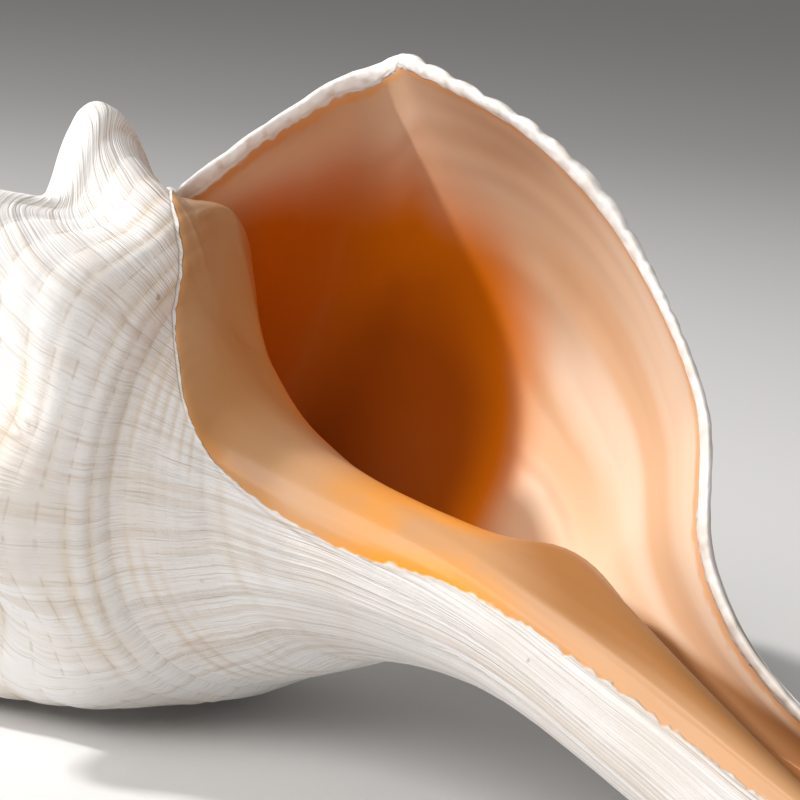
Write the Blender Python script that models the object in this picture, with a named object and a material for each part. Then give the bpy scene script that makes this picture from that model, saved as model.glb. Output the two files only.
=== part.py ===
"""Knobbed whelk shell, one piece, grown from one outline that turns, widens and drops round an axis.

The growing edge is an outline of radius and depth. A point of it is reached by its place along the outline, from
the suture (0) to the tip of the canal (1), and by the turn at which it was laid down, 0 at the lip and negative
further back. Lengths below are millimetres, and turns are radians.
"""

from math import pi

import bpy
import numpy as np

# Growth of the spiral
LENGTH = 200.0
WHORL = 2.24
SUTURE = (29.0, 21.5)
SHOULDER = [(43.5, 24.6), (56.5, 28.4), (64.2, 33.6), (67.2, 41.0)]
BODY = [
    (62.8, 71.0), (58.5, 86.0), (52.0, 100.5), (38.5, 120.0), (21.5, 131.5),
    (15.0, 144.0), (11.8, 161.0), (9.6, 184.0), (7.6, 195.0), (4.6, LENGTH),
]
# How fully each place of the body takes part in the growth, from the suture line down to the canal
SHARE = [1.0, 0.92, 1.0, 1.15, 1.2, 0.8, 0.55, 0.1, 0.0, 0.0, 0.0]
# The canal leans a little off the axis
LEAN = (-13.0, -12.0)
LEAN_FROM = 80.0

# Knobs on the shoulder. They shrink back along the spiral a little more slowly than the shell does, lean
# towards the apex, and fade at the lip. On the last whorl each runs on as a fold down the side
KNOBS = 6.75
KNOB_TURN = 2.1
KNOB_HIGH = 20.5
KNOB_GROWTH = 0.9
KNOB_LEAN = 0.45
KNOB_ABOVE = 25.0
KNOB_FOLD = 42.0
KNOB_FADE = 0.9

# Swelling of the shoulder at the lip, inside and out, where the next knob would grow
SWELL_HIGH = 3.4
SWELL_TURNS = 1.2
SWELL_REACH = 38.0

# Edge of the outer lip, as turns at the places of the outline, and the thickness of its wall
LIP = [0.0, -0.18, -0.28, -0.29, -0.22, -0.08, 0.08, 0.09, 0.07, 0.06, 0.04, 0.02, 0.01, 0.0, 0.0, 0.0]
WALL = 3.2
LIP_WALL = 0.62

# Callus and columella, from the suture line down to the tip of the canal
CALLUS = [0.0, 0.62, 0.8, 1.07, 1.7, 2.03, 1.77, 1.56, 1.6, 1.6, 1.6]
COLUMELLA = [
    (29.0, 21.5), (32.2, 32.0), (27.2, 38.0), (13.2, 52.0), (6.6, 66.0),
    (4.2, 82.0), (6.6, 98.0), (11.0, 113.0), (3.9, 144.0), (2.6, 190.0), (1.6, LENGTH),
]
CORNER = (1.5, 3.5)

# The hollow, and the depth down the shell where its floor ends at each turn back from the lip
HOLLOW_BACK = -4.7
FLOOR_TURN = [-4.8, -3.0, -2.2, -1.6, -1.1, -0.5, 0.0]
FLOOR_DEPTH = [88.0, 99.0, 116.0, 138.0, 163.0, 190.0, LENGTH]
FLOOR_ROUND = 0.84

# Sampling of the faceted solid
ROWS = 58
ROWS_BEFORE = (38, 22, 12)
ROWS_INSIDE = 28
ROWS_CALLUS = 6
UPPER = [0.0, 0.2, 0.4, 0.56, 0.68, 0.76, 0.83, 0.9, 1.0]
LOWER = 21

# Lie of the shell on its table: turns about the shell's own X, Y and Z axes, in degrees
LIE = (-56.99, -65.04, 59.5)

MM = 0.001


def curve(knots, values, x):
    """A smooth curve through the values that never overshoots them."""
    k = np.asarray(knots, float)
    v = np.asarray(values, float)
    gap = np.diff(k)
    rise = np.diff(v) / gap
    slope = np.zeros(len(k))
    ahead = 2 * gap[1:] + gap[:-1]
    behind = gap[1:] + 2 * gap[:-1]
    for j in range(1, len(k) - 1):
        if rise[j - 1] * rise[j] > 0:
            slope[j] = (ahead[j - 1] + behind[j - 1]) / (ahead[j - 1] / rise[j - 1] + behind[j - 1] / rise[j])
    slope[0], slope[-1] = rise[0], rise[-1]
    x = np.clip(x, k[0], k[-1])
    i = np.clip(np.searchsorted(k, x, side="right") - 1, 0, len(k) - 2)
    f = (x - k[i]) / gap[i]
    return (
        v[i] * (1 + 2 * f) * (1 - f) ** 2
        + slope[i] * gap[i] * f * (1 - f) ** 2
        + v[i + 1] * f * f * (3 - 2 * f)
        + slope[i + 1] * gap[i] * f * f * (f - 1)
    )


def ease(x):
    x = np.clip(x, 0.0, 1.0)
    return x * x * (3 - 2 * x)


GROWTH = np.log(WHORL) / (2 * pi)
OUTLINE = np.array([SUTURE] + SHOULDER + [(WHORL * SUTURE[0], WHORL * SUTURE[1])] + BODY)
STEPS = np.hypot(*np.diff(OUTLINE, axis=0).T)
ALONG = np.r_[0, np.cumsum(STEPS)] / STEPS.sum()
# The next whorl's suture runs along this place of the outline
MEET = ALONG[5]
BELOW = ALONG[5:]


def outline(s):
    return curve(ALONG, OUTLINE[:, 0], s), curve(ALONG, OUTLINE[:, 1], s)


def growth(t, s):
    return np.exp(GROWTH * t * curve(np.r_[0, BELOW], [1.0] + SHARE, s))


def place(r, h, t):
    """The point in space, in the shell's own frame: the apex up, the outer lip towards +X."""
    lean = ease((h - LEAN_FROM) / (LENGTH - LEAN_FROM))
    x = r * np.cos(-t) + LEAN[0] * lean
    y = r * np.sin(-t) + LEAN[1] * lean
    return np.stack(np.broadcast_arrays(x, y, -h), -1)


def lip(s):
    return curve(ALONG, LIP, s)


def knob(t, s):
    wave = 0.5 + 0.5 * np.cos(KNOBS * t + KNOB_TURN)
    below = (MEET - ALONG[3]) * STEPS.sum() + KNOB_FOLD * ease((t + 2 * pi) / 0.8)
    off = (s - ALONG[3]) * STEPS.sum()
    near = ease(1 - np.where(off < 0, -off / KNOB_ABOVE, off / below))
    return KNOB_HIGH * np.exp(GROWTH * KNOB_GROWTH * t) * wave * near * ease((lip(s) - t) / KNOB_FADE)


def swell(t, s):
    near = ease(1 - np.abs(s - ALONG[3]) * STEPS.sum() / SWELL_REACH)
    return SWELL_HIGH * near * ease(1 + (t - lip(s)) / SWELL_TURNS)


def outer_section(t, s):
    r, h = outline(s)
    g = growth(t, s)
    k = knob(t, s) + swell(t, s)
    return r * g + k, h * g - KNOB_LEAN * k


def outer(t, s):
    return place(*outer_section(t, s), t)


def callus(s):
    return curve(BELOW, CALLUS, s)


def wall(t, s):
    """Thickness, thin at the lip, at the canal and in the small early part."""
    from_lip = LIP_WALL + (1 - LIP_WALL) * ease((lip(s) - t) / 0.4)
    return WALL * from_lip * (1 - 0.35 * ease((s - 0.75) / 0.25)) * (0.6 + 0.4 * np.exp(GROWTH * np.minimum(t, 0)))


def lined_section(t, s):
    """The outer outline set in by the thickness of the wall, without the knobs."""
    a, b = np.clip(s - 0.001, 0, 1), np.clip(s + 0.001, 0, 1)
    (ra, ha), (rb, hb) = outline(a), outline(b)
    dr = rb * growth(t, b) - ra * growth(t, a)
    dh = hb * growth(t, b) - ha * growth(t, a)
    size = np.hypot(dr, dh)
    r, h = outline(s)
    g = growth(t, s)
    k = swell(t, s)
    return r * g + k - wall(t, s) * dh / size, h * g - KNOB_LEAN * k + wall(t, s) * dr / size


def core_section(t, s):
    """The side of the hollow that lies on the whorl before and on the columella."""
    r = curve(BELOW, [p[0] for p in COLUMELLA], s)
    h = curve(BELOW, [p[1] for p in COLUMELLA], s)
    corner = (1 - ease((s - MEET) / 0.05)) * ease(-t / 0.5)
    g = growth(t, s)
    return (r + CORNER[0] * corner) * g, (h + CORNER[1] * corner) * g


def hollow_section(t, s, outside):
    """One side of the hollow. Back from the lip the floor rises, and the two sides meet in a rounded end."""
    back = np.minimum(t, 0.0)
    depths = curve(FLOOR_TURN, FLOOR_DEPTH, back)
    table = np.linspace(MEET, 1, 200)
    end = np.interp(depths, outline(table)[1], table)
    at = np.where(s > MEET, MEET + (s - MEET) * (end - MEET) / (1 - MEET), s)
    ro, ho = lined_section(t, at)
    ri, hi = core_section(back, np.maximum(at, MEET))
    mid_r, mid_h = (ro + ri) / 2, (ho + hi) / 2
    q = np.clip((s - FLOOR_ROUND) / (1 - FLOOR_ROUND), 0, 1)
    e = 1 + (np.sqrt(1 - q * q) - 1) * ease(-t / 0.35)
    if outside:
        rc, hc = core_section(back, np.full_like(at, MEET))
        b = ease(s / 0.06)
        ro, ho = rc + (ro - rc) * b, hc + (ho - hc) * b
        return mid_r + (ro - mid_r) * e, mid_h + (ho - mid_h) * e
    return mid_r + (ri - mid_r) * e, mid_h + (hi - mid_h) * e


def inner_lip(t, s):
    return place(*hollow_section(t, s, True), t)


def inner_core(t, s):
    """The core side, and forward of the lip the callus that spreads from it onto the whorl before."""
    r, h = hollow_section(t, s, False)
    ro, ho = outer_section(t - 2 * pi, s)
    spread = ease(t / np.maximum(callus(s), 1e-6))
    return place(r + (ro - r) * spread, h + (ho - h) * spread, t)


class Surface:
    """Points and faces, gathered sheet by sheet."""

    def __init__(self):
        self.points = []
        self.faces = []

    def add(self, grid):
        rows, columns = grid.shape[:2]
        first = len(self.points)
        self.points.extend(grid.reshape(-1, 3).tolist())
        return first + np.arange(rows * columns).reshape(rows, columns)

    def quads(self, index, flip=False):
        for a, b in zip(index[:-1], index[1:]):
            for j in range(len(a) - 1):
                face = (a[j], a[j + 1], b[j + 1], b[j])
                self.faces.append(face[::-1] if flip else face)

    def stitch(self, a, b, flip=False):
        """Triangles between two lines that run side by side with their own number of points."""
        i = j = 0
        while i < len(a) - 1 or j < len(b) - 1:
            if j == len(b) - 1 or (i < len(a) - 1 and (i + 1) * (len(b) - 1) <= (j + 1) * (len(a) - 1)):
                face = (a[i], b[j], a[i + 1])
                i += 1
            else:
                face = (a[i], b[j], b[j + 1])
                j += 1
            self.faces.append(face[::-1] if flip else face)


def shell_surface(rows, rows_before, rows_inside, rows_callus, upper, lower):
    made = Surface()
    high = np.array(upper) * MEET
    low = MEET + (1 - MEET) * np.linspace(0, 1, lower)
    s = np.r_[high, low[1:]]
    n = len(high)

    # Last whorl, from the callus round to the lip
    start = np.where(s > MEET, -2 * pi + callus(s), -2 * pi)
    f = np.linspace(0, 1, rows + 1)[:, None]
    last = made.add(outer(start + (lip(s) - start) * f, s[None]))
    made.quads(last)

    # Whorls before it, each sewn by its lower line to the suture of the one after
    after = last
    for k, count in enumerate(rows_before, 1):
        f = np.linspace(0, 1, count + 1)[:, None]
        turn = made.add(outer(2 * pi * (f - k - 1) + 0 * high[:-1], high[None, :-1]))
        turn[-1] = after[0, : n - 1]
        made.quads(turn)
        made.stitch(turn[:, -1], after[:, 0], flip=True)
        after = turn
    tip = made.add(np.array([[(0.0, 0.0, 0.2)]]))[0, 0]
    ring = list(after[:, 0]) + list(after[0, ::-1][:-1])
    for a, b in zip(ring, ring[1:] + ring[:1]):
        made.faces.append((tip, a, b))

    # Hollow: the side under the lip, and the core side with the callus
    f = np.linspace(0, 1, rows_inside + 1)[:, None]
    roof = made.add(inner_lip(HOLLOW_BACK + (lip(s) - HOLLOW_BACK) * f, s[None]))
    made.quads(roof, flip=True)
    back = HOLLOW_BACK * (1 - f) + 0 * low
    front = callus(low) * np.linspace(0, 1, rows_callus + 1)[1:, None]
    core = made.add(inner_core(np.vstack([back, front]), low[None]))
    made.quads(core)

    # Lip edge, far end of the hollow, floor of the canal at its tip, and the tip itself
    made.quads(np.array([last[-1], roof[-1]]))
    made.quads(np.array([core[0], roof[0, n - 1 :]]))
    for a, b in zip(roof[0, : n - 1], roof[0, 1:n]):
        made.faces.append((core[0, 0], a, b))
    made.quads(np.array([roof[: rows_inside + 1, -1], core[: rows_inside + 1, -1]]))
    made.faces.append(tuple(last[:, -1]) + (roof[-1, -1],) + tuple(core[rows_inside:-1, -1]))
    return made


def clear_scene():
    for obj in list(bpy.data.objects):
        bpy.data.objects.remove(obj, do_unlink=True)


def shell_material():
    material = bpy.data.materials.new("shell_chalk")
    material.use_nodes = True
    shader = material.node_tree.nodes["Principled BSDF"]
    shader.inputs["Base Color"].default_value = (0.78, 0.68, 0.58, 1.0)
    shader.inputs["Roughness"].default_value = 0.55
    return material


def turned(points):
    """Turns the shell to the way it lies, sets it on the floor and centres it."""
    for axis, angle in zip((0, 1, 2), np.radians(LIE)):
        a, b = [(1, 2), (2, 0), (0, 1)][axis]
        c, d = np.cos(angle), np.sin(angle)
        u, v = points[:, a].copy(), points[:, b].copy()
        points[:, a], points[:, b] = c * u - d * v, d * u + c * v
    low, high = points.min(axis=0), points.max(axis=0)
    return points - [(low[0] + high[0]) / 2, (low[1] + high[1]) / 2, low[2]]


def build():
    clear_scene()
    made = shell_surface(ROWS, ROWS_BEFORE, ROWS_INSIDE, ROWS_CALLUS, UPPER, LOWER)
    points = turned(np.array(made.points)) * MM
    mesh = bpy.data.meshes.new("shell")
    mesh.from_pydata(points.tolist(), [], [tuple(int(v) for v in face) for face in made.faces])
    shell = bpy.data.objects.new("shell", mesh)
    collection = bpy.data.collections.new("knobbed_whelk_shell")
    bpy.context.scene.collection.children.link(collection)
    collection.objects.link(shell)
    mesh.materials.append(shell_material())

    bpy.context.view_layer.objects.active = shell
    shell.select_set(True)
    bpy.ops.object.mode_set(mode="EDIT")
    bpy.ops.mesh.select_all(action="SELECT")
    bpy.ops.mesh.remove_doubles(threshold=0.000002)
    bpy.ops.mesh.dissolve_degenerate(threshold=0.000002)
    bpy.ops.mesh.quads_convert_to_tris()
    bpy.ops.mesh.normals_make_consistent(inside=False)
    bpy.ops.object.mode_set(mode="OBJECT")
    corners = np.array([[mesh.vertices[v].co for v in face.vertices] for face in mesh.polygons])
    if np.linalg.det(corners).sum() < 0:
        mesh.flip_normals()


build()
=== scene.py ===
"""The knobbed whelk shell, dressed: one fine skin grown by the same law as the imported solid, with its
growth lines, spiral cords and scalloped lip, and the finishes of its chalk, its callus and its lining.

A point of the shell is reached by its place along the growing edge, from the suture (0) to the tip of the
canal (1), and by the turn at which it was laid down, 0 at the lip and negative further back. Lengths are
millimetres and turns are radians until the skin is placed, in metres, where the shell lies.
"""

from math import pi, radians

import bpy
import numpy as np
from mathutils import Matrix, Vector


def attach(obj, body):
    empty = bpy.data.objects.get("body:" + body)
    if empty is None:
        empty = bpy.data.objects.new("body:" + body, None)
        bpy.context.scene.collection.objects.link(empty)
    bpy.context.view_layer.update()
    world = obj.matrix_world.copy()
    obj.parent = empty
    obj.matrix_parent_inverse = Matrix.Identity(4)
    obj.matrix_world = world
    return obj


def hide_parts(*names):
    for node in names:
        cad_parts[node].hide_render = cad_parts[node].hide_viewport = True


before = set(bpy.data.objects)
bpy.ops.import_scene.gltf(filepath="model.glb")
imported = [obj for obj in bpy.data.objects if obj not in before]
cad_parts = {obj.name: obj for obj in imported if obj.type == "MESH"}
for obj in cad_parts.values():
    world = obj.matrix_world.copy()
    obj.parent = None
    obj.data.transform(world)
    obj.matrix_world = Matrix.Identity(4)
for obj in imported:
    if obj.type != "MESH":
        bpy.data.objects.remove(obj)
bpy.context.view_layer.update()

MM = 0.001

# The growing edge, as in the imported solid: radius and depth
LENGTH = 200.0
WHORL = 2.24
SUTURE = (29.0, 21.5)
SHOULDER = [(43.5, 24.6), (56.5, 28.4), (64.2, 33.6), (67.2, 41.0)]
BODY = [
    (62.8, 71.0), (58.5, 86.0), (52.0, 100.5), (38.5, 120.0), (21.5, 131.5),
    (15.0, 144.0), (11.8, 161.0), (9.6, 184.0), (7.6, 195.0), (4.6, LENGTH),
]
SHARE = [1.0, 0.92, 1.0, 1.15, 1.2, 0.8, 0.55, 0.1, 0.0, 0.0, 0.0]
LEAN = (-13.0, -12.0)
LEAN_FROM = 80.0
LIE = (-56.99, -65.04, 59.5)

# Knobs
KNOBS = 6.75
KNOB_TURN = 2.1
KNOB_HIGH = 20.5
KNOB_GROWTH = 0.9
KNOB_LEAN = 0.45
KNOB_ABOVE = 25.0
KNOB_FOLD = 42.0
KNOB_FADE = 0.9

# Swelling of the shoulder at the lip
SWELL_HIGH = 3.4
SWELL_TURNS = 1.2
SWELL_REACH = 38.0

# Lip, wall, callus, columella and hollow
LIP = [0.0, -0.18, -0.28, -0.29, -0.22, -0.08, 0.08, 0.09, 0.07, 0.06, 0.04, 0.02, 0.01, 0.0, 0.0, 0.0]
WALL = 3.2
LIP_WALL = 0.62
CALLUS = [0.0, 0.62, 0.8, 1.07, 1.7, 2.03, 1.77, 1.56, 1.6, 1.6, 1.6]
COLUMELLA = [
    (29.0, 21.5), (32.2, 32.0), (27.2, 38.0), (13.2, 52.0), (6.6, 66.0),
    (4.2, 82.0), (6.6, 98.0), (11.0, 113.0), (3.9, 144.0), (2.6, 190.0), (1.6, LENGTH),
]
CORNER = (1.5, 3.5)
HOLLOW_BACK = -4.7
FLOOR_TURN = [-4.8, -3.0, -2.2, -1.6, -1.1, -0.5, 0.0]
FLOOR_DEPTH = [88.0, 99.0, 116.0, 138.0, 163.0, 190.0, LENGTH]
FLOOR_ROUND = 0.84

# Fine shape of the skin
CORD_PITCH = 6.6
CORD_NARROW = 3.5
CORD_TURNS_NARROW = (92.0, 118.0)
CORD_HIGH = 0.62
CORD_FADE = (128.0, 150.0)
WELT_HIGH = 0.26
LEDGE_HIGH = 0.55
LEDGE_PITCH = 27.0
WAVE_HIGH = 0.7
RIM_ROUND = 0.55
RIM_AHEAD = 0.02
LINING_ROUND = 0.055
LINING_SHARES = [(-1.0, 0.12), (-0.5, 0.24), (0.0, 0.28), (0.5, 0.24), (1.0, 0.12)]
CALLUS_EDGE = 0.5
TURN_MM = 60.0
CHALK_BEHIND = 50.0
RIM_LINED = 3.0

# Kinds of skin, kept on the mesh for its finish
RIM, OUTSIDE, LINING, ON_CALLUS = -1, 0, 1, 2

# Rows and columns of the sheets
UPPER_COLUMNS = 36
LOWER_COLUMNS = 122
WHORL_ROWS = 260
HOLLOW_ROWS = 66
CALLUS_ROWS = 40
RIM_ROWS = 6
WHORLS_BEFORE = 3

# Open ends that are closed after welding, by their depth from the apex and from the canal's tip
APEX_END = 6.0
TIP_END = 14.0
WELD = 0.0005

# Place of the apex, for the shell as it lies
LIES_AT = (-96.826, -12.2657, 59.7404)

# Camera at the photograph's viewing angle
CAMERA_AT = (0.16942, -0.3081, 0.13148)
CAMERA_TURN = (78.348, -4.446, 33.104)
CAMERA_LENS = 109.83

# Light: a small key from the upper left, a broad fill from the front, and an even room
KEY_AT = (-0.95, -0.55, 0.95)
KEY_AIM = (0.0, 0.0, 0.05)
KEY_SIZE = 0.09
KEY_WATTS = 17.0
KEY_COLOR = (1.0, 0.975, 0.95)
FILL_AT = (-0.1, -1.05, 1.05)
FILL_AIM = (0.0, 0.0, 0.04)
FILL_SIZE = 0.9
FILL_WATTS = 12.0
FILL_COLOR = (1.0, 0.97, 0.95)
ROOM_COLOR = (1.0, 0.98, 0.96)
ROOM_STRENGTH = 0.27

# Colours
WHITE = (0.88, 0.865, 0.85)
SPIRE_PAINTED_LIGHT = (0.93, 0.92, 0.91)
WARM_WHITE = (0.80, 0.765, 0.735)
CREAM = (0.74, 0.65, 0.54)
PALE_BROWN = (0.68, 0.59, 0.50)
GROWTH_BROWN = (0.50, 0.40, 0.31)
RED_BROWN = (0.42, 0.24, 0.15)
GREY_BROWN = (0.34, 0.28, 0.23)
PEACH = (0.80, 0.51, 0.31)
PALE_PEACH = (0.88, 0.68, 0.51)
GREY_PEACH = (0.52, 0.30, 0.15)
# Deep orange of the lining further in, which is partly painted shade of the hollow
DEEP_ORANGE_AND_SHADE = (0.67, 0.165, 0.002)
# Painted shade deep in the hollow
DEEP_PAINTED_SHADE = (0.34, 0.07, 0.002)
TAN = (0.47, 0.22, 0.08)
ORANGE = (0.88, 0.34, 0.03)
# Painted shadow in the gutter by the columella and in the crease by the suture
PAINTED_SHADOW_BROWN = (0.36, 0.15, 0.04)

# Where the colours change, in millimetres from the suture along the growing edge
SPIRE_PAINTED_LIGHT_END = (34.0, 66.0)
SMOOTH_SPIRE = (30.0, 62.0)
CANAL_STREAKED = (126.0, 150.0)
CANAL_WARM = (136.0, 160.0)
SUTURE_CORNER = (3.0, 17.0)
DEEP_SHADE_SPREAD = (25.0, 165.0)
DEEP_SHADE_SHIFT = 84.0
DEEP_SHADE_FROM = (25.0, 55.0)
GUTTER = (174.0, 184.0)
CALLUS_PEACH = (125.0, 150.0)
ORANGE_FROM = (144.0, 158.0)
ORANGE_TO = (164.0, 172.0)
CALLUS_TAN = (160.0, 176.0)
CALLUS_GUTTER = (166.0, 176.0)
SHADOW_END = (140.0, 156.0)

# Floor, painted darker away from the shell as painted shade for the lamps' falloff
FLOOR_SIZE = 40.0
FLOOR_COLOR = (0.76, 0.76, 0.76)
FLOOR_FAR_PAINTED_SHADE = (0.46, 0.46, 0.46)
FLOOR_PAINTED_FALLOFF = (0.1, 1.2)


# Growth


def curve(knots, values, x):
    """A smooth curve through the values that never overshoots them."""
    k = np.asarray(knots, float)
    v = np.asarray(values, float)
    gap = np.diff(k)
    rise = np.diff(v) / gap
    slope = np.zeros(len(k))
    ahead = 2 * gap[1:] + gap[:-1]
    behind = gap[1:] + 2 * gap[:-1]
    for j in range(1, len(k) - 1):
        if rise[j - 1] * rise[j] > 0:
            before, after = ahead[j - 1] / rise[j - 1], behind[j - 1] / rise[j]
            slope[j] = (ahead[j - 1] + behind[j - 1]) / (before + after)
    slope[0], slope[-1] = rise[0], rise[-1]
    x = np.clip(x, k[0], k[-1])
    i = np.clip(np.searchsorted(k, x, side="right") - 1, 0, len(k) - 2)
    f = (x - k[i]) / gap[i]
    return (
        v[i] * (1 + 2 * f) * (1 - f) ** 2
        + slope[i] * gap[i] * f * (1 - f) ** 2
        + v[i + 1] * f * f * (3 - 2 * f)
        + slope[i + 1] * gap[i] * f * f * (f - 1)
    )


def ease(x):
    x = np.clip(x, 0.0, 1.0)
    return x * x * (3 - 2 * x)


def rough(x, pitch, seed):
    """Smooth random values from -1 to 1 along a line."""
    table = np.random.default_rng(seed).uniform(-1, 1, 1024)
    x = np.asarray(x) / pitch + 300
    i = np.floor(x).astype(int)
    f = ease(x - i)
    return table[i % 1024] * (1 - f) + table[(i + 1) % 1024] * f


def rough_over(x, y, pitch_x, pitch_y, seed):
    """Smooth random values from -1 to 1 over a surface."""
    table = np.random.default_rng(seed).uniform(-1, 1, (256, 256))
    x = np.asarray(x) / pitch_x + 90
    y = np.asarray(y) / pitch_y + 90
    i, j = np.floor(x).astype(int), np.floor(y).astype(int)
    f, g = ease(x - i), ease(y - j)
    i, j, i1, j1 = i % 256, j % 256, (i + 1) % 256, (j + 1) % 256
    near = table[i, j] * (1 - f) + table[i1, j] * f
    far = table[i, j1] * (1 - f) + table[i1, j1] * f
    return near * (1 - g) + far * g


GROWTH = np.log(WHORL) / (2 * pi)
OUTLINE = np.array([SUTURE] + SHOULDER + [(WHORL * SUTURE[0], WHORL * SUTURE[1])] + BODY)
STEPS = np.hypot(*np.diff(OUTLINE, axis=0).T)
ALONG = np.r_[0, np.cumsum(STEPS)] / STEPS.sum()
MEET = ALONG[5]
BELOW = ALONG[5:]


def outline(s):
    return curve(ALONG, OUTLINE[:, 0], s), curve(ALONG, OUTLINE[:, 1], s)


def growth(t, s):
    return np.exp(GROWTH * t * curve(np.r_[0, BELOW], [1.0] + SHARE, s))


def place(r, h, t):
    """The point in the shell's own frame: the apex up, the outer lip towards +X."""
    lean = ease((h - LEAN_FROM) / (LENGTH - LEAN_FROM))
    x = r * np.cos(-t) + LEAN[0] * lean
    y = r * np.sin(-t) + LEAN[1] * lean
    return np.stack(np.broadcast_arrays(x, y, -h), -1)


def callus(s):
    return curve(BELOW, CALLUS, s)


def lip(s):
    return curve(ALONG, LIP, s)


def knob(t, s):
    wave = 0.5 + 0.5 * np.cos(KNOBS * t + KNOB_TURN)
    below = (MEET - ALONG[3]) * STEPS.sum() + KNOB_FOLD * ease((t + 2 * pi) / 0.8)
    off = (s - ALONG[3]) * STEPS.sum()
    near = ease(1 - np.where(off < 0, -off / KNOB_ABOVE, off / below))
    return KNOB_HIGH * np.exp(GROWTH * KNOB_GROWTH * t) * wave * near * ease((lip(s) - t) / KNOB_FADE)


def swell(t, s):
    near = ease(1 - np.abs(s - ALONG[3]) * STEPS.sum() / SWELL_REACH)
    return SWELL_HIGH * near * ease(1 + (t - lip(s)) / SWELL_TURNS)


def facing(t, s):
    """The growing edge's outward direction, in radius and depth."""
    a, b = np.clip(s - 0.001, 0, 1), np.clip(s + 0.001, 0, 1)
    (ra, ha), (rb, hb) = outline(a), outline(b)
    dr = rb * growth(t, b) - ra * growth(t, a)
    dh = hb * growth(t, b) - ha * growth(t, a)
    size = np.hypot(dr, dh)
    return dh / size, -dr / size


def cord_phase(s):
    """Counts the spiral cords from the suture down. The grooves between them lie at whole numbers."""
    fine = np.linspace(0, STEPS.sum(), 2000)
    share = ease((fine - CORD_TURNS_NARROW[0]) / (CORD_TURNS_NARROW[1] - CORD_TURNS_NARROW[0]))
    pitch = (CORD_PITCH + (CORD_NARROW - CORD_PITCH) * share) * (1 + 0.3 * rough(fine, 9.0, 2))
    counted = np.r_[0, np.cumsum(np.diff(fine) / pitch[1:])]
    return np.interp(s * STEPS.sum(), fine, counted)


def relief(t, s):
    """Spiral cords, growth welts and slow waves that stand off the plain skin."""
    along = s * STEPS.sum()
    laid = (t - lip(s)) * TURN_MM
    g = growth(t, s)
    cord = np.abs(np.sin(pi * cord_phase(s))) ** 0.7 - 0.6
    slim = ease((along - CORD_TURNS_NARROW[0]) / (CORD_TURNS_NARROW[1] - CORD_TURNS_NARROW[0]))
    cord = cord * CORD_HIGH * (1 - 0.5 * slim) * (0.4 + 0.6 * ease((along - 30.0) / 22.0))
    cord = cord * (0.75 + 0.55 * rough_over(along, laid, 9.0, 60.0, 3))
    cord = cord * (1 - 0.8 * ease((along - CORD_FADE[0]) / (CORD_FADE[1] - CORD_FADE[0])))
    welt = WELT_HIGH * (0.6 * rough(laid, 5.5, 4) + 0.4 * rough_over(laid, along, 3.0, 22.0, 5))
    halt = laid / LEDGE_PITCH + 0.35 * rough(laid, 40.0, 7) + 0.06 * rough_over(along, laid, 14.0, 60.0, 8)
    halt = halt - np.floor(halt)
    ledge = halt**3 * ease((1 - halt) / 0.05) * (0.5 + 0.5 * rough_over(along, laid, 26.0, 31.0, 9))
    wave = WAVE_HIGH * rough_over(laid, along, 30.0, 24.0, 6)
    welt = welt + LEDGE_HIGH * ledge
    seam = ease(s / 0.03) * (1 - (1 - ease((t + 2 * pi) / 0.25)) * ease((s - MEET) / 0.03 + 1))
    return (cord + welt + wave) * g * seam * (0.35 + 0.65 * ease((1 - s) / 0.3))


def outer_section(t, s, fine=True):
    r, h = outline(s)
    g = growth(t, s)
    k = knob(t, s) + swell(t, s)
    r, h = r * g + k, h * g - KNOB_LEAN * k
    if fine:
        nr, nh = facing(t, s)
        d = relief(t, s)
        r, h = r + nr * d, h + nh * d
    return r, h


def outer(t, s):
    return place(*outer_section(t, s), t)


def wall(t, s):
    from_lip = LIP_WALL + (1 - LIP_WALL) * ease((lip(s) - t) / 0.4)
    by_canal = 1 - 0.35 * ease((s - 0.75) / 0.25)
    return WALL * from_lip * by_canal * (0.6 + 0.4 * np.exp(GROWTH * np.minimum(t, 0)))


def lined_section(t, s):
    """The outer outline set in by the thickness of the wall, without the knobs."""
    r, h = outline(s)
    g = growth(t, s)
    k = swell(t, s)
    nr, nh = facing(t, s)
    return r * g + k - wall(t, s) * nr, h * g - KNOB_LEAN * k - wall(t, s) * nh


def core_section(t, s):
    """The side of the hollow that lies on the whorl before and on the columella."""
    r = curve(BELOW, [p[0] for p in COLUMELLA], s)
    h = curve(BELOW, [p[1] for p in COLUMELLA], s)
    corner = (1 - ease((s - MEET) / 0.05)) * ease(-t / 0.5)
    g = growth(t, s)
    return (r + CORNER[0] * corner) * g, (h + CORNER[1] * corner) * g


def hollow_section(t, s, outside):
    """One side of the hollow. Back from the lip its floor rises, and the sides meet in a rounded end."""
    back = np.minimum(t, 0.0)
    depths = curve(FLOOR_TURN, FLOOR_DEPTH, back)
    table = np.linspace(MEET, 1, 200)
    end = np.interp(depths, outline(table)[1], table)
    at = np.where(s > MEET, MEET + (s - MEET) * (end - MEET) / (1 - MEET), s)
    reach = LINING_ROUND * ease(-t / 0.5) * (1 - ease((at - 0.5) / 0.15)) * ease((at - LINING_ROUND) / 0.06)
    ro = ho = 0.0
    for share, weight in LINING_SHARES:
        a, b = lined_section(t, at + share * reach)
        ro, ho = ro + weight * a, ho + weight * b
    ri, hi = core_section(back, np.maximum(at, MEET))
    mid_r, mid_h = (ro + ri) / 2, (ho + hi) / 2
    q = np.clip((s - FLOOR_ROUND) / (1 - FLOOR_ROUND), 0, 1)
    e = 1 + (np.sqrt(1 - q * q) - 1) * ease(-t / 0.35)
    if outside:
        rc, hc = core_section(back, np.full_like(at, MEET))
        b = ease(s / 0.06)
        ro, ho = rc + (ro - rc) * b, hc + (ho - hc) * b
        return mid_r + (ro - mid_r) * e, mid_h + (ho - mid_h) * e
    return mid_r + (ri - mid_r) * e, mid_h + (hi - mid_h) * e


def inner_lip(t, s):
    return place(*hollow_section(t, s, True), t)


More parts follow.
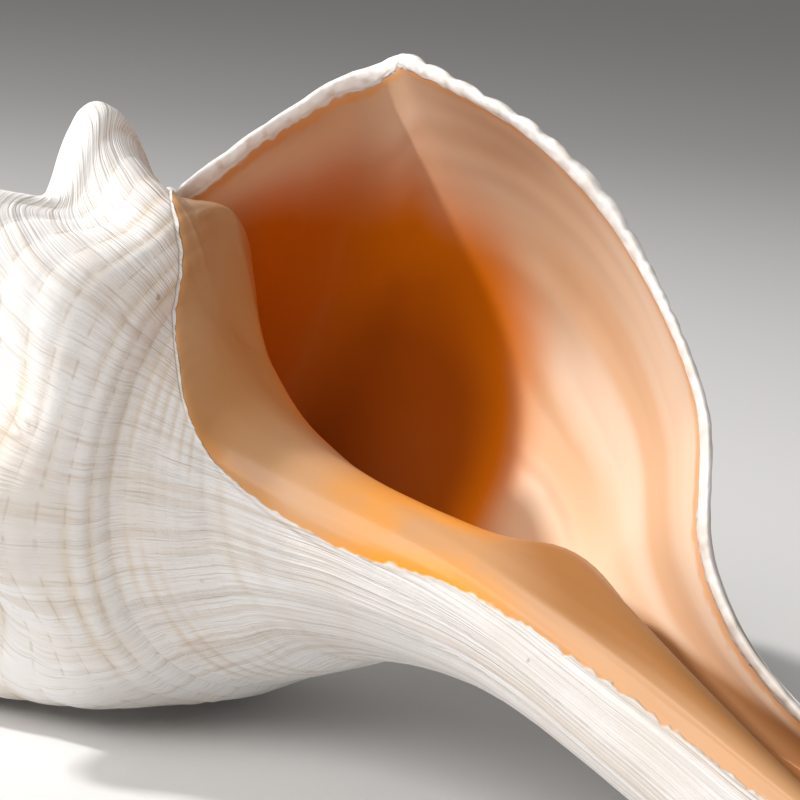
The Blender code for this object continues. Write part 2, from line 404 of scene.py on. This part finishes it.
def inner_core(t, s):
    """The core side, and forward of the lip the callus that spreads from it onto the whorl before."""
    r, h = hollow_section(t, s, False)
    ro, ho = outer_section(t - 2 * pi, s)
    part = np.clip(t / np.maximum(callus(s), 1e-6), 0, 1)
    spread = ease(part)
    nr, nh = facing(t - 2 * pi, s)
    rounded = np.sqrt(np.clip(1 - ((part - 0.9) / 0.1).clip(0, 1) ** 2, 0, 1))
    edge = CALLUS_EDGE * ease((part - 0.3) / 0.5) * rounded * ease((s - MEET) / 0.05)
    return place(r + (ro - r) * spread + nr * edge, h + (ho - h) * spread + nh * edge, t)


# How the shell lies


def turned(points):
    """Turns points of the shell's own frame to the way it lies."""
    for axis, angle in zip((0, 1, 2), np.radians(LIE)):
        a, b = [(1, 2), (2, 0), (0, 1)][axis]
        c, d = np.cos(angle), np.sin(angle)
        u, v = points[..., a].copy(), points[..., b].copy()
        points[..., a], points[..., b] = c * u - d * v, d * u + c * v
    return points


# Sheets


def all_off():
    bpy.ops.object.select_all(action="DESELECT")


def sheet(name, points, laid, along, lined, kind, phase):
    """A grid primitive with its points set along the growth. Its corners keep what the finish reads."""
    rows, columns = points.shape[:2]
    all_off()
    bpy.ops.mesh.primitive_grid_add(x_subdivisions=columns - 1, y_subdivisions=rows - 1, size=1.0)
    piece = bpy.context.object
    piece.name = name
    mesh = piece.data
    mesh.vertices.foreach_set("co", points.reshape(-1))
    corner = np.empty(len(mesh.loops), np.int32)
    mesh.loops.foreach_get("vertex_index", corner)
    for label, values in (("grown", (laid, along, lined)), ("within", (kind, phase, 0))):
        kept = mesh.attributes.new(label, "FLOAT_VECTOR", "CORNER")
        values = np.stack(np.broadcast_arrays(*values, along)[:3], -1).reshape(-1, 3)
        kept.data.foreach_set("vector", values[corner].astype(np.float32).reshape(-1))
    while mesh.uv_layers:
        mesh.uv_layers.remove(mesh.uv_layers[0])
    return piece


def grown_sheets():
    total = STEPS.sum()
    high = MEET * np.linspace(0, 1, UPPER_COLUMNS)
    low = MEET + (1 - MEET) * curve([0, 0.64, 1], [0, 0.46, 1], np.linspace(0, 1, LOWER_COLUMNS))
    s = np.r_[high, low[1:]]
    made = []

    def keep(name, points, t, s, lined, kind):
        t, s, lined = np.broadcast_arrays(t, s, lined)
        laid = (t - lip(s)) * TURN_MM
        made.append(sheet(name, points, laid, s * total, lined, kind, cord_phase(s)))

    # Last whorl, from the callus round to the lip, with more rows where the callus and the lip show it
    start = np.where(s > MEET, -2 * pi + callus(s), -2 * pi)
    u = np.linspace(0, 1, WHORL_ROWS + 1)
    f = curve([0, 0.45, 0.9, 1], [0, 0.36, 0.93, 1], u)[:, None]
    t = start + (lip(s) - start) * f
    last = outer(t, s[None])
    keep("whorl_0", last, t, s[None], -(t - start) * outline(s)[0] - 0.01, OUTSIDE)

    # Whorls before it
    for k in range(1, WHORLS_BEFORE + 1):
        t = 2 * pi * (f - k - 1) + 0 * high
        keep("whorl_%d" % k, outer(t, high[None]), t, high[None], -CHALK_BEHIND, OUTSIDE)

    # Hollow: the side under the lip, and the core side with the callus
    f = curve([0, 0.5, 1], [0, 0.62, 1], np.linspace(0, 1, HOLLOW_ROWS + 1))[:, None]
    t = HOLLOW_BACK + (lip(s) - HOLLOW_BACK) * f
    roof = inner_lip(t, s[None])
    keep("lining", roof, t, s[None], (lip(s) - t) * outline(s)[0] + 0.01, LINING)
    back = HOLLOW_BACK * (1 - f) + 0 * low
    g = curve([0, 0.6, 1], [0, 0.75, 1], np.linspace(0, 1, CALLUS_ROWS + 1)[1:])[:, None]
    t = np.vstack([back, callus(low) * g])
    lined = (callus(low) - t) * outline(low)[0] + 0.01
    keep("callus", inner_core(t, low[None]), t - 2 * pi, low[None], lined, ON_CALLUS)

    # Rim: a rounded edge from the outside of the lip to its lining
    a = np.linspace(0, 1, RIM_ROWS + 1)[:, None, None]
    front = outer(lip(s), s)
    ahead = outer(lip(s) + RIM_AHEAD, s) - front
    ahead /= np.linalg.norm(ahead, axis=-1, keepdims=True)
    thick = np.linalg.norm(roof[-1] - front, axis=-1, keepdims=True)
    rim = front + (roof[-1] - front) * a + ahead * thick * RIM_ROUND * np.sin(pi * a)
    keep("rim", rim, lip(s)[None], s[None], -(1 - a[..., 0]) * RIM_LINED + 0 * s, RIM)
    return made


def weld_shell(sheets):
    """Joins the sheets and welds their seams."""
    all_off()
    for piece in sheets:
        piece.select_set(True)
    bpy.context.view_layer.objects.active = sheets[0]
    bpy.ops.object.join()
    shell = bpy.context.object
    shell.name = "whelk_skin"
    bpy.ops.object.mode_set(mode="EDIT")
    bpy.ops.mesh.select_all(action="SELECT")
    bpy.ops.mesh.remove_doubles(threshold=WELD)
    bpy.ops.object.mode_set(mode="OBJECT")
    return shell


def close_hole(shell, inside):
    """Closes the open edge that lies in the given place, with faces that meet in its middle."""
    mesh = shell.data
    bpy.ops.object.mode_set(mode="EDIT")
    bpy.ops.mesh.select_mode(type="VERT")
    bpy.ops.mesh.select_all(action="DESELECT")
    bpy.ops.mesh.select_non_manifold(
        extend=False, use_wire=False, use_multi_face=False, use_non_contiguous=False
    )
    bpy.ops.object.mode_set(mode="OBJECT")
    for vertex in mesh.vertices:
        vertex.select = vertex.select and inside(vertex.co)
    for edge in mesh.edges:
        edge.select = edge.select and all(mesh.vertices[v].select for v in edge.vertices)
    bpy.ops.object.mode_set(mode="EDIT")
    bpy.ops.mesh.select_mode(type="EDGE")
    bpy.ops.mesh.extrude_edges_move()
    bpy.ops.mesh.merge(type="CENTER")
    bpy.ops.object.mode_set(mode="OBJECT")


def grow_shell():
    """The whole skin, welded, closed at both ends and at the end of the hollow, and laid down."""
    shell = weld_shell(grown_sheets())
    tip = TIP_END - LENGTH
    for inside in (lambda p: p.z > -APEX_END, lambda p: p.z < tip, lambda p: tip < p.z < -APEX_END):
        close_hole(shell, inside)
    bpy.ops.object.mode_set(mode="EDIT")
    bpy.ops.mesh.select_all(action="SELECT")
    bpy.ops.mesh.normals_make_consistent(inside=False)
    bpy.ops.object.mode_set(mode="OBJECT")
    mesh = shell.data
    co = np.empty(len(mesh.vertices) * 3)
    mesh.vertices.foreach_get("co", co)
    co = (turned(co.reshape(-1, 3)) + LIES_AT) * MM
    mesh.vertices.foreach_set("co", co.reshape(-1))
    mesh.update()
    all_off()
    shell.select_set(True)
    bpy.ops.object.shade_smooth()
    return shell


# Finishes


class Value:
    """A shader value. An expression on it adds Math nodes."""

    def __init__(self, finish, socket):
        self.finish = finish
        self.socket = socket

    def _math(self, operation, *values):
        return self.finish.node("ShaderNodeMath", {"operation": operation}, values)

    def __add__(self, other):
        return self._math("ADD", self, other)

    def __sub__(self, other):
        return self._math("SUBTRACT", self, other)

    def __rsub__(self, other):
        return self._math("SUBTRACT", other, self)

    def __mul__(self, other):
        return self._math("MULTIPLY", self, other)

    def __pow__(self, other):
        return self._math("POWER", self, other)

    __radd__ = __add__
    __rmul__ = __mul__

    def size(self):
        return self._math("ABSOLUTE", self)

    def swing(self, reach):
        """Runs from 0 up to reach and back again, and touches 0 at every multiple of twice the reach."""
        return self._math("PINGPONG", self, reach)

    def between(self, low, high):
        """0 below low, 1 above high, smooth between."""
        return self.finish.node(
            "ShaderNodeMapRange",
            {"interpolation_type": "SMOOTHSTEP"},
            {"Value": self, "From Min": low, "From Max": high},
            "Result",
        )


class Finish:
    """A material and the nodes that make it."""

    def __init__(self, name):
        self.material = bpy.data.materials.new(name)
        self.material.use_nodes = True
        self.tree = self.material.node_tree
        self.shader = self.tree.nodes["Principled BSDF"]

    def node(self, kind, settings=None, values=(), output=0):
        made = self.tree.nodes.new(kind)
        for key, value in (settings or {}).items():
            setattr(made, key, value)
        pairs = values.items() if isinstance(values, dict) else enumerate(values)
        for key, value in pairs:
            self.put(made.inputs[key], value)
        return Value(self, made.outputs[output])

    def put(self, socket, value):
        if isinstance(value, Value):
            self.tree.links.new(value.socket, socket)
        elif isinstance(value, tuple) and len(value) == 3 and socket.type == "RGBA":
            socket.default_value = (*value, 1.0)
        else:
            socket.default_value = value

    def kept(self, name):
        """The three numbers that the mesh keeps under this name."""
        return self.split(self.node("ShaderNodeAttribute", {"attribute_name": name}, (), "Vector"))

    def split(self, vector):
        made = self.tree.nodes.new("ShaderNodeSeparateXYZ")
        self.put(made.inputs[0], vector)
        return [Value(self, made.outputs[i]) for i in range(3)]

    def vector(self, x, y, z=0.0):
        return self.node("ShaderNodeCombineXYZ", {}, (x, y, z))

    def noise(self, vector, scale=1.0):
        return self.node(
            "ShaderNodeTexNoise", {}, {"Vector": vector, "Scale": scale, "Detail": 1.0, "Roughness": 0.55}
        )

    def mix(self, factor, a, b):
        return self.node("ShaderNodeMix", {"data_type": "RGBA"}, {0: factor, 6: a, 7: b}, 2)

    def bump(self, height, distance):
        return self.node("ShaderNodeBump", {}, {"Height": height, "Distance": distance, "Strength": 1.0})

    def put_on(self, piece, **inputs):
        for name, value in inputs.items():
            self.put(self.shader.inputs[name.replace("_", " ")], value)
        piece.data.materials.clear()
        piece.data.materials.append(self.material)


def shell_finish(piece):
    finish = Finish("chalk_callus_and_lining")
    laid, along, lined = finish.kept("grown")
    kind, phase, _ = finish.kept("within")
    place_of = finish.node("ShaderNodeTexCoord", {}, (), "Object")
    cloud = finish.noise(place_of, 38.0)
    patch = finish.noise(place_of, 85.0) - 0.5
    wavy = laid + (cloud - 0.5) * 5.0 + patch * 3.0

    def grain(across, down, seed):
        """Noise drawn out along the growth lines: its cycles per millimetre across them and down them."""
        return finish.noise(finish.vector(wavy * across, along * down, seed))

    # Chalk: white cords with cream flanks, stained in places
    wobble = finish.noise(place_of, 260.0) - 0.5
    off_groove = phase.swing(0.5) * CORD_PITCH + wobble * 1.1
    flank = 1.0 - off_groove.between(0.2, 2.4)
    groove = 1.0 - off_groove.between(0.05, 0.55)
    stained = grain(0.018, 0.06, 3.0).between(0.44, 0.6)
    on_shell = kind.between(-0.8, -0.2)
    on_body = (1.0 - along.between(*CORD_FADE)) * on_shell
    broad = 1.0 - along.between(*CORD_TURNS_NARROW) * 0.75
    chalk = finish.mix(cloud.between(0.35, 0.7), WHITE, WARM_WHITE)
    chalk = finish.mix(flank * stained * on_body * 0.75, chalk, CREAM)
    chalk = finish.mix((patch + 0.5).between(0.5, 0.75) * 0.3, chalk, CREAM)

    # Growth lines: hair-fine ones, soft stripes, and a few thin brown lines where growth stopped.
    # The grooves between cords show where the stripes cross them, and the spire is painted whiter as
    # painted light on its knobs.
    hairs = grain(1.5, 0.05, 1.0)
    stripes = grain(0.3, 0.02, 6.0)
    chalk = finish.mix(stripes.between(0.52, 0.68) * 0.42, chalk, PALE_BROWN)
    chalk = finish.mix(hairs.between(0.57, 0.72) * 0.34, chalk, GROWTH_BROWN)
    stop = grain(0.045, 0.004, 11.0)
    stop_line = (1.0 - (stop - 0.5).size().between(0.0, 0.006)) * stained
    chalk = finish.mix(stop_line * 0.3, chalk, RED_BROWN)
    chalk = finish.mix(groove * stripes.between(0.4, 0.6) * on_body * broad * 0.36, chalk, GROWTH_BROWN)
    # Painted light: the spire is painted whiter so that its knobs look more brightly lit
    chalk = finish.mix((1.0 - along.between(*SPIRE_PAINTED_LIGHT_END)) * 0.55, chalk, SPIRE_PAINTED_LIGHT)
    chalk = finish.mix(along.between(*CANAL_WARM) * 0.45, chalk, WARM_WHITE)

    # The rim is rough and patchy, the canal streaked, and there are a few specks
    rough = finish.noise(place_of, 320.0)
    on_rim = 1.0 - on_shell
    chalk = finish.mix(on_rim * rough.between(0.5, 0.66) * 0.55, chalk, PALE_BROWN)
    streaks = stripes.between(0.46, 0.62) * along.between(*CANAL_STREAKED)
    chalk = finish.mix(streaks * 0.3, chalk, GROWTH_BROWN)
    specks = rough.between(0.74, 0.78) * cloud.between(0.5, 0.6)
    chalk = finish.mix(specks * 0.6, chalk, GREY_BROWN)

    # Lining: peach in soft bands laid down by the lip, deep orange further in and partly painted shade,
    # darker painted shade deeper in, and painted shadow in the gutter
    bands = grain(0.045, 0.006, 2.0)
    haze = finish.noise(place_of, 30.0)
    lining = finish.mix(bands.between(0.36, 0.64), PEACH, PALE_PEACH)
    lining = finish.mix(grain(0.085, 0.008, 7.0).between(0.48, 0.72) * 0.4, lining, TAN)
    lining = finish.mix(haze.between(0.5, 0.75) * 0.3, lining, GREY_PEACH)
    # Painted shade: the deep orange is shifted along the edge so that it fills where the lip's shadow
    # falls, over the lining's own deeper colour
    depth = 0.0 - laid - along.between(*DEEP_SHADE_SPREAD) * DEEP_SHADE_SHIFT
    depth = depth + (haze - 0.5) * 16.0 + (bands - 0.5) * 12.0
    lining = finish.mix(depth.between(2.0, 27.0), lining, DEEP_ORANGE_AND_SHADE)
    # Painted shade: darker brown deep in the hollow, where little light reaches
    lining = finish.mix(depth.between(20.0, 46.0) * along.between(*DEEP_SHADE_FROM), lining, DEEP_PAINTED_SHADE)
    # Painted shadow: brown in the crease by the suture and in the gutter beside the columella
    corner = (1.0 - along.between(*SUTURE_CORNER)) * (0.0 - laid).between(4.0, 20.0)
    gutter = along.between(*GUTTER)
    lining = finish.mix(corner * 0.7 + gutter * 0.85, lining, PAINTED_SHADOW_BROWN)

    # Callus: tan with paler clouds, and orange glaze at both edges where it swings round to the canal
    callus = finish.mix(haze.between(0.4, 0.68), TAN, GREY_PEACH)
    callus = finish.mix(along.between(*CALLUS_PEACH) * 0.4, callus, PEACH)
    outer_edge = 1.0 - (lined + patch * 9.0).between(0.5, 6.5)
    inner_edge = (lined + patch * 10.0).between(10.0, 15.0)
    middle = along.between(*ORANGE_FROM) * (1.0 - along.between(*ORANGE_TO))
    callus = finish.mix(middle * (0.12 + patch.between(-0.12, 0.14) * 0.5), callus, ORANGE)
    callus = finish.mix(inner_edge * middle * 0.7, callus, ORANGE)
    callus = finish.mix(outer_edge * (0.25 + middle * 0.75), callus, ORANGE)
    callus = finish.mix(along.between(*CALLUS_TAN) * 0.3, callus, TAN)
    # Painted shadow of the gutter where it runs onto the callus
    in_gutter = along.between(*CALLUS_GUTTER) * lined.between(3.5, 7.0)
    callus = finish.mix(in_gutter * 0.9, callus, PAINTED_SHADOW_BROWN)
    # Deep orange far in on the core side, partly painted shade of the hollow
    callus = finish.mix(lined.between(40.0, 80.0), callus, DEEP_ORANGE_AND_SHADE)
    on_callus = kind.between(1.2, 1.8)
    inner = finish.mix(on_callus, lining, callus)

    # The chalk ends raggedly at both edges: an orange line inside the lip, and a painted shadow line by the
    # raised edge of the callus
    torn = lined + (finish.noise(place_of, 420.0) - 0.5) * 2.4
    edge_line = (1.0 - (torn - 2.2).size().between(0.2, 1.5)) * (1.0 - on_callus)
    inner = finish.mix(edge_line * 0.5, inner, ORANGE)
    glazed = (torn - 1.1).between(-0.3, 0.3)
    shadow_line = (1.0 - (lined + wobble * 1.2 + 0.55).size().between(0.1, 0.75)) * on_shell
    shadow_line = shadow_line * cloud.between(0.4, 0.55) * (1.0 - along.between(*SHADOW_END))
    chalk = finish.mix(shadow_line * 0.7, chalk, GREY_BROWN)

    # Fine relief in millimetres
    chalk_height = hairs * (0.08 + along.between(*SMOOTH_SPIRE) * 0.18) + stripes * 0.45
    chalk_height = chalk_height + rough * (0.16 + on_rim * 0.6)
    height = chalk_height * (1.0 - glazed) + glazed * (0.25 + patch * 0.12)
    finish.put_on(
        piece,
        Base_Color=finish.mix(glazed, chalk, inner),
        Roughness=0.7 - glazed * 0.33 + (haze - 0.5) * 0.1,
        Normal=finish.bump(height, MM),
        Coat_Weight=glazed * 0.1,
        Specular_IOR_Level=0.32,
    )


# Floor, light and camera


def floor():
    all_off()
    bpy.ops.mesh.primitive_plane_add(size=FLOOR_SIZE, location=(0.0, 0.0, 0.0))
    plane = bpy.context.object
    plane.name = "table"
    finish = Finish("table_white")
    x, y, _ = finish.split(finish.node("ShaderNodeTexCoord", {}, (), "Object"))
    off = (x * x + y * y) ** 0.5
    # Painted shade: the floor darkens away from the shell in place of the lamps' falloff
    color = finish.mix(off.between(*FLOOR_PAINTED_FALLOFF), FLOOR_COLOR, FLOOR_FAR_PAINTED_SHADE)
    finish.put_on(plane, Base_Color=color, Roughness=0.6)


def light(name, at, aim, size, watts, color):
    data = bpy.data.lights.new(name, "AREA")
    data.size = size
    data.energy = watts
    data.color = color
    lamp = bpy.data.objects.new(name, data)
    bpy.context.collection.objects.link(lamp)
    lamp.location = at
    lamp.rotation_euler = (Vector(aim) - Vector(at)).to_track_quat("-Z", "Y").to_euler()


def camera():
    data = bpy.data.cameras.new("camera")
    data.lens = CAMERA_LENS
    data.sensor_width = 36.0
    data.clip_start = 0.01
    lens = bpy.data.objects.new("camera", data)
    lens.location = CAMERA_AT
    lens.rotation_euler = [radians(a) for a in CAMERA_TURN]
    bpy.context.collection.objects.link(lens)
    bpy.context.scene.camera = lens


def surroundings():
    bpy.context.scene.view_settings.view_transform = "Standard"
    world = bpy.data.worlds.new("studio")
    world.use_nodes = True
    room = world.node_tree.nodes["Background"]
    room.inputs["Color"].default_value = (*ROOM_COLOR, 1.0)
    room.inputs["Strength"].default_value = ROOM_STRENGTH
    bpy.context.scene.world = world


shell = grow_shell()
shell_finish(shell)
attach(shell, "root")
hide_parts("shell")

floor()
light("key", KEY_AT, KEY_AIM, KEY_SIZE, KEY_WATTS, KEY_COLOR)
light("fill", FILL_AT, FILL_AIM, FILL_SIZE, FILL_WATTS, FILL_COLOR)
surroundings()
camera()
